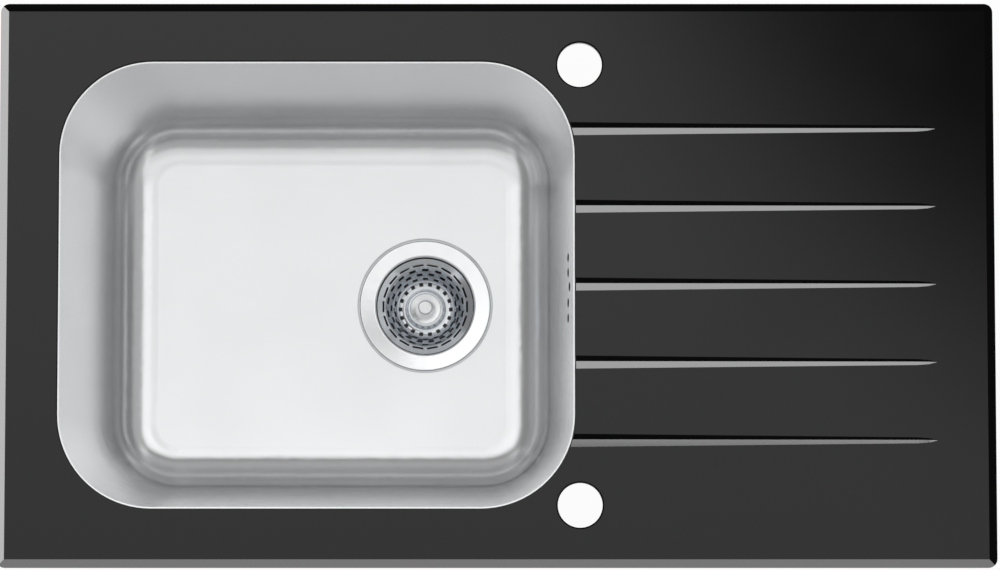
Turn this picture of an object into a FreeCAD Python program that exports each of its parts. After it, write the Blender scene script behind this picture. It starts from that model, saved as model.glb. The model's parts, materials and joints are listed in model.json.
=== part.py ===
import FreeCAD, Part
import math
import os
import re
import Sketcher

# Inset kitchen sink: a bevelled black glass top bonded to a steel tray, with a pressed steel bowl at the
# left, a grooved drainer at the right, a basket waste, an overflow and six worktop clamps.
# Frame: origin in the worktop's surface under the middle of the glass, +X towards the drainer, +Y towards
# the back, +Z up. Millimetres and degrees.

# Driving dimensions.
SIZES = {
    # glass top
    "plate_width": 780, "plate_depth": 444, "plate_corner": 7, "glass_thickness": 6,
    "bevel_width": 6.5, "bevel_drop": 3,
    "tap_offset": 3.6, "tap_margin": 48.7, "tap_radius": 17.5, "tap_bevel": 1.2,
    "groove_count": 5, "groove_pitch": 61.3, "groove_width": 10.5, "groove_depth": 1.4,
    "groove_neck_width": 4.7, "groove_neck_depth": 0.63, "groove_point": 15,
    "groove_leaf_width": 3.3, "groove_leaf_depth": 0.44, "groove_leaf": 6,
    "groove_tip_width": 0.5, "groove_tip_depth": 0.07, "groove_margin": 46.3, "groove_lean": 0.8,
    # tray, bond and rim seal
    "seal_height": 1.5, "seal_width": 10, "seal_inset": 6,
    "tray_thickness": 0.8, "tray_inset": 5, "tray_corner": 4, "tray_gap": 0.3, "tap_clearance": 1,
    "bond_height": 0.7, "bond_width": 12, "bond_corner": 2, "worktop_overlap": 12,
    # bowl
    "bowl_margin": 46.5, "bowl_border": 45.8, "bowl_width": 405, "bowl_height": 165, "bowl_corner": 74,
    "lip_thickness": 1.6, "lip_drop": 1.5, "lip_round": 0.6, "edge_gap": 0.6, "bowl_sheet": 0.8,
    "weld_flange": 10, "left_draft": 39.4, "right_draft": 22, "side_draft": 31,
    "floor_corner": 48, "floor_round": 35,
    "pad_margin": 11.8, "pad_border": 37, "pad_thickness": 2.5, "pad_corner": 10, "pad_gap": 67,
    "rib_start": 43.5, "rib_width": 24, "rib_height": 12, "rib_sheet": 1, "rib_foot": 8, "rib_y": 60,
    "rib_margin": 45,
    # waste
    "waste_margin": 119.7, "recess_radius": 55, "recess_depth": 3, "recess_slope": 3, "waste_hole": 44,
    "recess_land": 3, "top_seal_height": 1, "top_seal_setback": 1, "strainer_flange": 52.6,
    "cup_radius": 39.8, "cup_taper": 1.2, "cup_depth": 38, "cup_sheet": 1, "sump_radius": 26.5,
    "sump_depth": 8, "drain_inner": 10, "drain_outer": 23, "drain_count": 6, "drain_width": 7,
    "flange_round": 2, "flange_edge": 0.6, "flange_dish": 0.5, "bottom_seal_height": 3, "body_flange": 56,
    "body_flange_height": 4, "body_clearance": 1.7, "body_wall": 2.8, "body_drop": 6, "funnel_height": 14,
    "throat_step": 1,
    "outlet_radius": 23.9, "outlet_bore": 19.5, "outlet_length": 36, "boss_radius": 7, "boss_length": 16,
    "spider_width": 3, "spider_height": 5, "insert_radius": 4.5, "insert_length": 13, "screw_radius": 3,
    "screw_head": 6, "screw_head_height": 3.5, "screw_length": 15, "washer_radius": 9, "washer_height": 1,
    "screw_clearance": 0.3, "driver_slot": 1.5,
    # lift-out basket
    "basket_radius": 33.2, "basket_flange": 38.9, "rim_rise": 3.2, "basket_foot": 24, "basket_height": 22,
    "basket_sheet": 0.8, "basket_round": 8, "boss_rise": 6, "basket_boss": 16.7, "boss_slope": 2.2,
    "slot_count": 18, "rim_slot_radius": 34, "rim_slot_width": 1.5, "rim_slot_length": 8.9,
    "wall_slot_radius": 30.6, "wall_slot_step": 2.9, "wall_slot_width": 1.5, "wall_slot_length": 5.2,
    "foot_slot_radius": 20.6, "foot_slot_width": 3, "foot_slot_length": 3.2,
    "rosette_radius": 12.7, "rosette_height": 1.6, "rosette_dish": 0.8, "knob_radius": 5.9,
    "knob_height": 11, "knob_round": 1.6, "stem_radius": 3, "basket_seal_radius": 36.8,
    "basket_seal_height": 3, "seal_lip": 3.5, "basket_nut_radius": 9, "basket_nut_flange": 1.2,
    "basket_nut_height": 3, "basket_nut_flats": 10,
    # overflow
    "overflow_drop": 24, "overflow_hole": 3.5, "overflow_pitch": 12, "overflow_low": 3, "overflow_high": 4,
    "overflow_drill": 16, "gasket_height": 2, "housing_length": 96, "housing_height": 28, "housing_flange": 3,
    "housing_box": 68, "housing_wall": 2.5, "housing_corner": 4, "stud_pitch": 84,
    "stud_radius": 2, "stud_length": 14, "stud_nut": 7, "stud_nut_height": 3.2, "pipe_gap": 0.5,
    "spigot_radius": 13,
    "spigot_length": 16, "pipe_radius": 10, "pipe_wall": 1.8, "pipe_fit": 0.2, "pipe_overlap": 10,
    "pipe_bend": 32, "inlet_rise": 5, "inlet_length": 20, "coupling_radius": 17, "coupling_length": 16,
    "coupling_grip": 8, "coupling_flats": 31, "pipe_seal_height": 3,
    # worktop clamps
    "clamp_margin": 128, "clamp_inset": 16, "rail_length": 90, "rail_height": 19.5, "rail_width": 12,
    "rail_sheet": 1.2, "rail_reach": 10, "bracket_width": 22, "bracket_sheet": 2.5, "bracket_top": 4.5,
    "bracket_height": 23, "bracket_ear": 14.3, "bracket_round": 2, "rivet_pitch": 12, "rivet_drop": 11.5,
    "rivet_radius": 1.6, "rivet_head": 3, "rivet_head_height": 1.2, "clamp_screw_radius": 2.5,
    "clamp_screw_length": 32, "clamp_screw_fit": 0.05, "clamp_open": 41, "clamp_flange": 6,
    "clamp_flange_height": 1.5, "clamp_head": 8, "clamp_head_height": 4.5, "claw_width": 16,
    "claw_reach": 25, "claw_thickness": 3, "claw_tooth": 4, "claw_tooth_height": 4, "claw_corner": 5,
}

# Levels and places worked out from them.
DERIVED = {
    "tray_top": "seal_height + tray_thickness",
    "glass_bottom": "tray_top + bond_height",
    "glass_top": "glass_bottom + glass_thickness",
    "cutout_width": "plate_width - 2 * worktop_overlap",
    "cutout_depth": "plate_depth - 2 * worktop_overlap",
    "lip_top": "glass_top - lip_drop",
    "floor_top": "glass_top - bowl_height",
    "floor_under": "floor_top - bowl_sheet",
    "bowl_x": "bowl_margin + bowl_width / 2 - plate_width / 2",
    "bowl_right": "bowl_x + bowl_width / 2",
    "bowl_breadth": "plate_depth - 2 * bowl_border",
    "tap_x": "bowl_right + tap_offset",
    "tap_y": "plate_depth / 2 - tap_margin",
    "hollow_width": "bowl_width - 2 * lip_thickness",
    "hollow_breadth": "bowl_breadth - 2 * lip_thickness",
    "hollow_corner": "bowl_corner - lip_thickness",
    "floor_width": "hollow_width - left_draft - right_draft",
    "floor_breadth": "hollow_breadth - 2 * side_draft",
    "floor_x": "bowl_x + (left_draft - right_draft) / 2",
    "waste_x": "bowl_right - waste_margin",
    "pad_right": "waste_x - pad_gap",
    "pad_left": "floor_x - floor_width / 2 + floor_round + pad_margin",
    "pad_breadth": "floor_breadth - 2 * (floor_round + pad_border)",
    "rib_left": "bowl_right + rib_start",
    "rib_length": "plate_width / 2 - rib_margin - rib_left",
    "seat_top": "floor_top - recess_depth",
    "seat_under": "seat_top - bowl_sheet",
    "strainer_under": "seat_top + top_seal_height",
    "strainer_top": "strainer_under + cup_sheet",
    "ledge_top": "strainer_top - cup_depth",
    "sump_top": "ledge_top - sump_depth",
    "sump_under": "sump_top - cup_sheet",
    "body_top": "seat_under - bottom_seal_height",
    "body_bore": "cup_radius + cup_sheet + body_clearance",
    "body_radius": "body_bore + body_wall",
    "shoulder": "sump_under - body_drop",
    "throat": "shoulder - funnel_height",
    "outlet_end": "throat - outlet_length",
    "basket_under": "ledge_top + seal_lip + basket_seal_height",
    "basket_floor": "basket_under + basket_sheet",
    "basket_rim": "basket_floor + basket_height",
    "boss_top": "basket_floor + boss_rise",
    "rosette_top": "boss_top + rosette_height",
    "seal_under": "basket_under - basket_seal_height",
    "stem_bottom": "seal_under - basket_nut_flange - basket_nut_height",
    "wall_run": "lip_top - floor_under",
    "overflow_z": "lip_top - overflow_drop",
    "overflow_x": "bowl_right - lip_thickness + bowl_sheet - right_draft * overflow_drop / wall_run",
    "overflow_lean": "atan(right_draft / wall_run) / 1 deg",
    "pipe_reach": "coupling_radius + pipe_gap",
    "pipe_x": "overflow_x + pipe_reach",
    "housing_reach": "pipe_reach + spigot_radius + housing_wall - gasket_height",
    "spigot_end": "overflow_z - housing_height / 2 - spigot_length",
    "inlet_z": "ledge_top + inlet_rise",
    "inlet_end": "waste_x + body_radius + inlet_length",
    "pipe_bore": "pipe_radius - pipe_wall",
    "spigot_bore": "pipe_radius + pipe_fit",
    "clamp_x": "plate_width / 2 - clamp_margin",
    "clamp_hole": "clamp_screw_radius + clamp_screw_fit",
    "claw_top": "-clamp_open - claw_tooth_height",
    "claw_under": "claw_top - claw_thickness",
    "bracket_under": "seal_height - bracket_top - bracket_height",
}

doc = FreeCAD.newDocument("kitchen_sink")
sheet = doc.addObject("Spreadsheet::Sheet", "sizes")
cells = [(name, str(value)) for name, value in SIZES.items()]
cells += [(name, "=" + formula) for name, formula in DERIVED.items()]
for row, (name, text) in enumerate(cells, 1):
    sheet.set(f"A{row}", name)
    sheet.set(f"B{row}", text)
    sheet.setAlias(f"B{row}", name)
doc.recompute()
ALIASES = set(SIZES) | set(DERIVED)
nodes = {}


def linked(formula):
    # the formula with every size pointing at the sheet
    return re.sub(r"[a-z_]+", lambda m: "sizes." + m[0] if m[0] in ALIASES else m[0], str(formula))


def number(formula):
    value = sheet.evalExpression(linked(formula))
    return float(getattr(value, "Value", value))


def bind(thing, **formulas):
    for name, formula in formulas.items():
        thing.setExpression(name, linked(formula))
    return thing


def place(thing, x="0", y="0", z="0", turn="0", axis=(0, 0, 1)):
    spot = FreeCAD.Vector(number(x), number(y), number(z))
    thing.Placement = FreeCAD.Placement(spot, FreeCAD.Rotation(FreeCAD.Vector(*axis), number(turn)))
    for letter, formula in zip("xyz", (x, y, z)):
        thing.setExpression("Placement.Base." + letter, linked(formula))
    if str(turn) != "0":
        thing.setExpression("Placement.Rotation.Angle", linked(turn))
    return thing


def keep(label, thing):
    thing.Label = label
    nodes[label] = thing
    return thing


def new_body(name, **spot):
    return place(doc.addObject("PartDesign::Body", name), **spot)


def datum(body, role):
    return next(f for f in body.Origin.OriginFeatures if f.Role == role)


def new_sketch(body, name, plane="XY_Plane", offset="0", turn="0"):
    sketch = body.newObject("Sketcher::SketchObject", name)
    sketch.AttachmentSupport = [(datum(body, plane), "")]
    sketch.MapMode = "FlatFace"
    spin = FreeCAD.Rotation(FreeCAD.Vector(0, 0, 1), number(turn))
    sketch.AttachmentOffset = FreeCAD.Placement(FreeCAD.Vector(0, 0, number(offset)), spin)
    sketch.setExpression("AttachmentOffset.Base.z", linked(offset))
    if str(turn) != "0":
        sketch.setExpression("AttachmentOffset.Rotation.Angle", linked(turn))
    return sketch


def fix(sketch, kind, formula, *where):
    index = sketch.addConstraint(Sketcher.Constraint(kind, *where, number(formula)))
    sketch.setExpression(f"Constraints[{index}]", linked(formula))


def polygon(sketch, corners):
    # a closed outline whose corners are pairs of formulas
    first = sketch.GeometryCount
    count = len(corners)
    spots = [FreeCAD.Vector(number(a), number(b), 0) for a, b in corners]
    for i in range(count):
        sketch.addGeometry(Part.LineSegment(spots[i], spots[(i + 1) % count]))
    for i in range(count):
        sketch.addConstraint(Sketcher.Constraint("Coincident", first + i, 2, first + (i + 1) % count, 1))
    for i, (a, b) in enumerate(corners):
        fix(sketch, "DistanceX", a, -1, 1, first + i, 1)
        fix(sketch, "DistanceY", b, -1, 1, first + i, 1)
    return sketch


def rectangle(sketch, left, right, low, high):
    return polygon(sketch, [(left, low), (right, low), (right, high), (left, high)])


def circle(sketch, radius, a="0", b="0"):
    index = sketch.addGeometry(
        Part.Circle(FreeCAD.Vector(number(a), number(b), 0), FreeCAD.Vector(0, 0, 1), number(radius)))
    fix(sketch, "DistanceX", a, -1, 1, index, 3)
    fix(sketch, "DistanceY", b, -1, 1, index, 3)
    fix(sketch, "Radius", radius, index)
    return sketch


def six_sides(sketch, flats, a="0"):
    # a hexagon about (a, 0), by the distance across its flats
    radius = f"{flats} / 2 / cos(30 deg)"
    return polygon(sketch, [(f"({a}) + cos({60 * i} deg) * {radius}", f"sin({60 * i} deg) * {radius}")
                            for i in range(6)])


def rounded(sketch, a, b, width, depth, radius):
    # a rectangle about (a, b) with four equal round corners
    left, right = f"({a}) - ({width}) / 2", f"({a}) + ({width}) / 2"
    low, high = f"({b}) - ({depth}) / 2", f"({b}) + ({depth}) / 2"
    x0, x1, y0, y1, r = (number(f) for f in (left, right, low, high, radius))
    point = FreeCAD.Vector
    up = point(0, 0, 1)
    first = sketch.GeometryCount
    sides = [(point(x0 + r, y0), point(x1 - r, y0)), (point(x1, y0 + r), point(x1, y1 - r)),
             (point(x1 - r, y1), point(x0 + r, y1)), (point(x0, y1 - r), point(x0, y0 + r))]
    middles = [point(x1 - r, y0 + r), point(x1 - r, y1 - r), point(x0 + r, y1 - r), point(x0 + r, y0 + r)]
    quarter = math.pi / 2
    for i in range(4):
        sketch.addGeometry(Part.LineSegment(*sides[i]))
        start = quarter * (i - 1)
        sketch.addGeometry(Part.ArcOfCircle(Part.Circle(middles[i], up, r), start, start + quarter))
    for i in range(4):
        line, arc, following = first + 2 * i, first + 2 * i + 1, first + (2 * i + 2) % 8
        sketch.addConstraint(Sketcher.Constraint("Tangent", line, 2, arc, 1))
        sketch.addConstraint(Sketcher.Constraint("Tangent", arc, 2, following, 1))
        sketch.addConstraint(Sketcher.Constraint("Vertical" if i % 2 else "Horizontal", line))
        if i:
            sketch.addConstraint(Sketcher.Constraint("Equal", first + 1, arc))
    fix(sketch, "DistanceY", low, -1, 1, first, 1)
    fix(sketch, "DistanceX", right, -1, 1, first + 2, 1)
    fix(sketch, "DistanceY", high, -1, 1, first + 4, 1)
    fix(sketch, "DistanceX", left, -1, 1, first + 6, 1)
    fix(sketch, "Radius", radius, first + 1)
    return sketch


def pad(body, sketch, length, back=False, middle=False):
    feature = body.newObject("PartDesign::Pad", sketch.Name + "_pad")
    feature.Profile = sketch
    feature.Reversed = back
    feature.SideType = "Symmetric" if middle else "One side"
    return bind(feature, Length=length)


def pocket(body, sketch, length=None, back=False, middle=False):
    # cuts along the sketch's normal, or against it, and through everything without a length
    feature = body.newObject("PartDesign::Pocket", sketch.Name + "_cut")
    feature.Profile = sketch
    feature.Reversed = not back
    feature.SideType = "Symmetric" if middle else "One side"
    if length is None:
        feature.Type = "ThroughAll"
        return feature
    return bind(feature, Length=length)


def turned(body, sketch):
    feature = body.newObject("PartDesign::Revolution", sketch.Name + "_turned")
    feature.Profile = sketch
    feature.ReferenceAxis = (sketch, ["V_Axis"])
    feature.Angle = 360
    return feature


def turning(name, corners, **spot):
    # a body of revolution about its own Z, from pairs of radius and height
    body = new_body(name, **spot)
    turned(body, polygon(new_sketch(body, name + "_section", "XZ_Plane"), corners))
    return body


def ring_edges(feature, *rings):
    # names of the round edges with these radii and heights, in the body's own frame
    doc.recompute()
    wanted = [(number(radius), number(height)) for radius, height in rings]
    names = []
    for i, edge in enumerate(feature.Shape.Edges, 1):
        if isinstance(edge.Curve, Part.Circle):
            size, level = edge.Curve.Radius, edge.Curve.Center.z
            if any(abs(size - r) < 1e-4 and abs(level - z) < 1e-4 for r, z in wanted):
                names.append(f"Edge{i}")
    return names


def level_edges(feature, height):
    doc.recompute()
    level = number(height)
    return [f"Edge{i}" for i, edge in enumerate(feature.Shape.Edges, 1)
            if abs(edge.BoundBox.ZMin - level) < 1e-4 and abs(edge.BoundBox.ZMax - level) < 1e-4]


def edges_through(feature, x, y, z):
    # names of the edges that pass through a point, in the body's own frame
    doc.recompute()
    spot = Part.Vertex(number(x), number(y), number(z))
    return [f"Edge{i}" for i, edge in enumerate(feature.Shape.Edges, 1) if edge.distToShape(spot)[0] < 1e-4]


def soften(body, kind, base, names, **sizes):
    feature = body.newObject("PartDesign::" + kind, f"{body.Name}_{kind.lower()}")
    feature.Base = (base, names)
    return bind(feature, **sizes)


def repeat_round(body, feature, count):
    pattern = body.newObject("PartDesign::PolarPattern", feature.Name + "_ring")
    pattern.Originals = [feature]
    pattern.Axis = (datum(body, "Z_Axis"), [""])
    pattern.Angle = 360
    bind(pattern, Occurrences=count)
    body.Tip = pattern
    return pattern


def cylinder(name, radius, height, x="0", y="0", z="0", turn="0", axis=(0, 1, 0)):
    thing = doc.addObject("Part::Cylinder", name)
    bind(thing, Radius=radius, Height=height)
    return place(thing, x, y, z, turn, axis)


def cut(name, base, tool):
    thing = doc.addObject("Part::Cut", name)
    thing.Base = base
    thing.Tool = tool
    return thing


def fuse(name, *shapes):
    thing = doc.addObject("Part::MultiFuse", name)
    thing.Shapes = list(shapes)
    return thing


def group(name, things):
    thing = doc.addObject("Part::Compound", name)
    thing.Links = list(things)
    return thing


def ring_prism(body, name, outer, inner, bottom, height):
    # a flat frame between two rounded rectangles
    frame = new_sketch(body, name, offset=bottom)
    rounded(frame, *outer)
    rounded(frame, *inner)
    return pad(body, frame, height)


def round_bowl(gap):
    # the bowl's outline, wider by a gap all round
    return "bowl_x", "0", f"bowl_width + 2 * {gap}", f"bowl_breadth + 2 * {gap}", f"bowl_corner + {gap}"


def make_glass_top():
    body = new_body("glass_top")
    outline = rounded(new_sketch(body, "glass_outline", offset="glass_bottom"),
                      "0", "0", "plate_width", "plate_depth", "plate_corner")
    pad(body, outline, "glass_thickness")
    # flat bevels that meet in a mitre at each corner
    for plane, span in (("XZ_Plane", "plate_width"), ("YZ_Plane", "plate_depth")):
        section = new_sketch(body, "bevel_" + span, plane)
        for side in ("-1", "1"):
            edge = f"{side} * {span} / 2"
            polygon(section, [(edge, "glass_top - bevel_drop"),
                              (f"{edge} - {side} * bevel_width", "glass_top"), (edge, "glass_top")])
        pocket(body, section, "plate_width + plate_depth", middle=True)
    opening = rounded(new_sketch(body, "glass_cutout", offset="glass_bottom"), *round_bowl("edge_gap"))
    pocket(body, opening)
    taps = new_sketch(body, "glass_tap_holes", offset="glass_bottom")
    for side in ("-1", "1"):
        circle(taps, "tap_radius", "tap_x", f"{side} * tap_y")
    bored = pocket(body, taps)
    soften(body, "Chamfer", bored, ring_edges(bored, ("tap_radius", "glass_top")), Size="tap_bevel")
    # drainer grooves that narrow and rise towards their points
    start, end = "bowl_right - groove_width", "plate_width / 2 - groove_margin"
    sections = []
    for name, x, width, depth, lean in (
            ("groove_mouth", start, "groove_width", "groove_depth", "groove_lean"),
            ("groove_neck", f"{end} - groove_point", "groove_neck_width", "groove_neck_depth",
             "groove_lean * groove_neck_width / groove_width"),
            ("groove_leaf_section", f"{end} - groove_leaf", "groove_leaf_width", "groove_leaf_depth",
             "groove_lean * groove_leaf_width / groove_width"),
            ("groove_tip", end, "groove_tip_width", "groove_tip_depth", "0")):
        middle = "-(groove_count - 1) / 2 * groove_pitch"
        half = f"({width}) / 2"
        sections.append(polygon(new_sketch(body, name, "YZ_Plane", x), [
            (f"{middle} - {half}", "glass_top"), (f"{middle} + {lean}", f"glass_top - {depth}"),
            (f"{middle} + {half}", "glass_top"), (f"{middle} + {half}", "glass_top + groove_depth"),
            (f"{middle} - {half}", "glass_top + groove_depth")]))
    groove = body.newObject("PartDesign::SubtractiveLoft", "groove")
    groove.Profile = sections[0]
    groove.Sections = sections[1:]
    groove.Ruled = True
    row = body.newObject("PartDesign::LinearPattern", "grooves")
    row.Originals = [groove]
    row.Direction = (datum(body, "Y_Axis"), [""])
    bind(row, Occurrences="groove_count", Length="(groove_count - 1) * groove_pitch")
    body.Tip = row
    return body


def make_tray():
    body = new_body("deck_tray")
    sketch = new_sketch(body, "tray_outline", offset="seal_height")
    rounded(sketch, "0", "0", "plate_width - 2 * tray_inset", "plate_depth - 2 * tray_inset", "tray_corner")
    rounded(sketch, *round_bowl("tray_gap"))
    for side in ("-1", "1"):
        circle(sketch, "tap_radius + tap_clearance", "tap_x", f"{side} * tap_y")
    pad(body, sketch, "tray_thickness")
    return body


def make_bond():
    # a bead round the edge, one round the bowl and one round each tap hole
    edge = new_body("bond_edge")
    inset = "tray_inset + bevel_width"
    ring_prism(edge, "bond_edge_section",
               ("0", "0", f"plate_width - 2 * ({inset})", f"plate_depth - 2 * ({inset})",
                "bond_corner + bond_width"),
               ("0", "0", f"plate_width - 2 * ({inset} + bond_width)",
                f"plate_depth - 2 * ({inset} + bond_width)", "bond_corner"), "tray_top", "bond_height")
    bowl = new_body("bond_bowl")
    near, far = "edge_gap", "(edge_gap + bond_width)"
    ring_prism(bowl, "bond_bowl_section",
               round_bowl(far), round_bowl(near), "tray_top", "bond_height")
    beads = [edge, bowl]
    inner = "tap_radius + tap_clearance"
    for index, side in enumerate(("-1", "1")):
        beads.append(turning(f"bond_tap_{index}", [
            (inner, "tray_top"), (f"{inner} + bond_width / 2", "tray_top"),
            (f"{inner} + bond_width / 2", "glass_bottom"), (inner, "glass_bottom")],
            x="tap_x", y=f"{side} * tap_y"))
    # the tap beads run into the bead round the bowl
    return fuse("glass_bond", *beads)


def make_rim_seal():
    body = new_body("rim_seal")
    ring_prism(body, "seal_section",
               ("0", "0", "plate_width - 2 * seal_inset", "plate_depth - 2 * seal_inset", "tray_corner"),
               ("0", "0", "plate_width - 2 * (seal_inset + seal_width)",
                "plate_depth - 2 * (seal_inset + seal_width)", "tray_corner"), "0", "seal_height")
    return body


def tub(name, wall, top, bottom):
    # a drawn bowl's shape, offset outwards by wall from the bowl's inner surface
    body = new_body(name)
    mouth = rounded(new_sketch(body, name + "_mouth", offset=top), "bowl_x", "0",
                    f"hollow_width + 2 * {wall}", f"hollow_breadth + 2 * {wall}", f"hollow_corner + {wall}")
    base = rounded(new_sketch(body, name + "_base", offset=bottom), "floor_x", "0",
                   f"floor_width + 2 * {wall}", f"floor_breadth + 2 * {wall}", f"floor_corner + {wall}")
    sides = body.newObject("PartDesign::AdditiveLoft", name + "_sides")
    sides.Profile = mouth
    sides.Sections = [base]
    sides.Ruled = True
    soften(body, "Fillet", sides, level_edges(sides, bottom), Radius=f"floor_round + {wall}")
    return body


def make_bowl():
    outside = tub("bowl_outside", "bowl_sheet", "lip_top", "floor_under")
    lip = rounded(new_sketch(outside, "lip_outline", offset="seal_height - bowl_sheet"), *round_bowl("0"))
    lip_pad = pad(outside, lip, "lip_top - seal_height + bowl_sheet")
    soften(outside, "Fillet", lip_pad, level_edges(lip_pad, "lip_top"), Radius="lip_round")
    flange = rounded(new_sketch(outside, "flange_outline", offset="seal_height - bowl_sheet"),
                     *round_bowl("weld_flange"))
    pad(outside, flange, "bowl_sheet")
    hollow = tub("bowl_hollow", "0", "lip_top", "floor_top")
    shell = cut("bowl_shell", outside, hollow)
    # the floor's pressed recess for the waste
    land = "recess_radius + recess_land"
    bite = cylinder("recess_bite", land, "4 * bowl_sheet", x="waste_x", z="floor_under - bowl_sheet")
    recess = turning("recess", [
        ("waste_hole", "seat_under"), ("recess_radius - recess_slope", "seat_under"),
        ("recess_radius", "floor_under"), (land, "floor_under"), (land, "floor_top"),
        ("recess_radius", "floor_top"), ("recess_radius - recess_slope", "seat_top"),
        ("waste_hole", "seat_top")], x="waste_x")
    pressed = fuse("bowl_pressed", cut("bowl_bitten", shell, bite), recess)
    # a row of overflow holes, the middle one higher
    drills = []
    for index in range(-2, 3):
        height = "overflow_z - overflow_low" if index else "overflow_z + overflow_high"
        drills.append(cylinder(f"overflow_drill_{index + 3}", "overflow_hole", "overflow_drill",
                               x="overflow_x - overflow_drill / 2", y=f"{index} * overflow_pitch", z=height,
                               turn="90"))
    return cut("bowl", pressed, group("overflow_drills", drills))


def make_edge_joint():
    body = new_body("bowl_edge_joint")
    ring_prism(body, "joint_section",
               round_bowl("edge_gap"), round_bowl("0"), "tray_top", "lip_top - lip_round - tray_top")
    return body


def make_sound_pad():
    body = new_body("sound_pad")
    sketch = new_sketch(body, "pad_outline", offset="floor_under")
    rounded(sketch, "(pad_left + pad_right) / 2", "0", "pad_right - pad_left", "pad_breadth", "pad_corner")
    pad(body, sketch, "pad_thickness", back=True)
    return body


def make_drainer_ribs():
    # two hat sections under the tray
    ribs = []
    half, foot = "rib_width / 2", "rib_width / 2 + rib_foot"
    low, high = "seal_height - rib_height", "seal_height"
    for index, side in enumerate(("-1", "1")):
        body = new_body(f"rib_{index}", x="rib_left", y=f"{side} * rib_y")
        section = polygon(new_sketch(body, f"rib_section_{index}", "YZ_Plane"), [
            (f"-({foot})", high), (f"-({foot})", f"{high} - rib_sheet"),
            (f"-({half})", f"{high} - rib_sheet"), (f"-({half})", low), (half, low),
            (half, f"{high} - rib_sheet"), (foot, f"{high} - rib_sheet"), (foot, high),
            (f"{half} - rib_sheet", high), (f"{half} - rib_sheet", f"{low} + rib_sheet"),
            (f"-({half} - rib_sheet)", f"{low} + rib_sheet"), (f"-({half} - rib_sheet)", high)])
        pad(body, section, "rib_length")
        ribs.append(body)
    return group("drainer_ribs", ribs)


def flat_ring(name, inner, outer, low, high):
    return turning(name, [(inner, low), (outer, low), (outer, high), (inner, high)], x="waste_x")


def make_strainer_cup():
    wall, foot = "cup_radius + cup_sheet", "cup_radius - cup_taper"
    body = turning("waste_cup", [
        ("screw_radius + screw_clearance", "sump_under"), ("sump_radius + cup_sheet", "sump_under"),
        ("sump_radius + cup_sheet", "ledge_top - cup_sheet"),
        (f"{foot} + cup_sheet", "ledge_top - cup_sheet"), (wall, "strainer_under"),
        ("strainer_flange", "strainer_under"), ("strainer_flange", "strainer_top"),
        ("cup_radius", "strainer_top - flange_dish"), (foot, "ledge_top"), ("sump_radius", "ledge_top"),
        ("sump_radius", "sump_top"), ("screw_radius + screw_clearance", "sump_top")], x="waste_x")
    mouth = soften(body, "Fillet", body.Tip,
                   ring_edges(body.Tip, ("cup_radius", "strainer_top - flange_dish")), Radius="flange_round")
    soften(body, "Fillet", mouth, ring_edges(mouth, ("strainer_flange", "strainer_top")),
           Radius="flange_edge")
    # drains in the sump, with ribs left between them
    drain = new_sketch(body, "drain_outline", offset="sump_under")
    rectangle(drain, "drain_inner", "drain_outer", "-drain_width / 2", "drain_width / 2")
    repeat_round(body, pocket(body, drain, "2 * cup_sheet"), "drain_count")
    return body


def make_waste_body():
    body = turning("waste_body", [
        ("body_bore", "body_top"), ("body_bore", "shoulder"), ("outlet_bore", "throat + throat_step"),
        ("outlet_bore", "outlet_end"), ("outlet_radius", "outlet_end"), ("outlet_radius", "throat"),
        ("body_radius", "shoulder"), ("body_radius", "body_top - body_flange_height"),
        ("body_flange", "body_top - body_flange_height"), ("body_flange", "body_top")], x="waste_x")
    # the spider that takes the clamping screw
    boss = circle(new_sketch(body, "boss_outline", offset="sump_under"), "boss_radius")
    pad(body, boss, "boss_length", back=True)
    reach = "(body_bore + body_wall / 2)"
    for index, (across, along) in enumerate((("spider_width / 2", reach), (reach, "spider_width / 2"))):
        bar = new_sketch(body, f"spider_bar_{index}", offset="sump_under - body_drop + spider_height")
        rectangle(bar, f"-{across}", across, f"-{along}", along)
        pad(body, bar, "spider_height", back=True)
    socket = circle(new_sketch(body, "insert_socket", offset="sump_under"), "insert_radius")
    pocket(body, socket, "insert_length", back=True)
    # the overflow's inlet
    inlet = circle(new_sketch(body, "inlet_outline", "YZ_Plane", "body_bore + body_wall / 2"),
                   "spigot_radius", "0", "inlet_z")
    pad(body, inlet, "body_wall / 2 + inlet_length")
    bore = circle(new_sketch(body, "inlet_bore", "YZ_Plane", "body_bore - body_wall"),
                  "spigot_bore", "0", "inlet_z")
    pocket(body, bore, "inlet_length + 3 * body_wall")
    return body


def make_clamping_screw():
    head, top = "sump_top + washer_height", "sump_top + washer_height + screw_head_height"
    body = turning("waste_screw", [
        ("0", f"{head} - screw_length"), ("screw_radius", f"{head} - screw_length"), ("screw_radius", head),
        ("screw_head", head), ("screw_head", top), ("0", top)], x="waste_x")
    slot = new_sketch(body, "screw_slot", offset=top)
    rectangle(slot, "-2 * screw_head", "2 * screw_head", "-driver_slot / 2", "driver_slot / 2")
    pocket(body, slot, "screw_head_height / 2", back=True)
    return body


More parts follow.
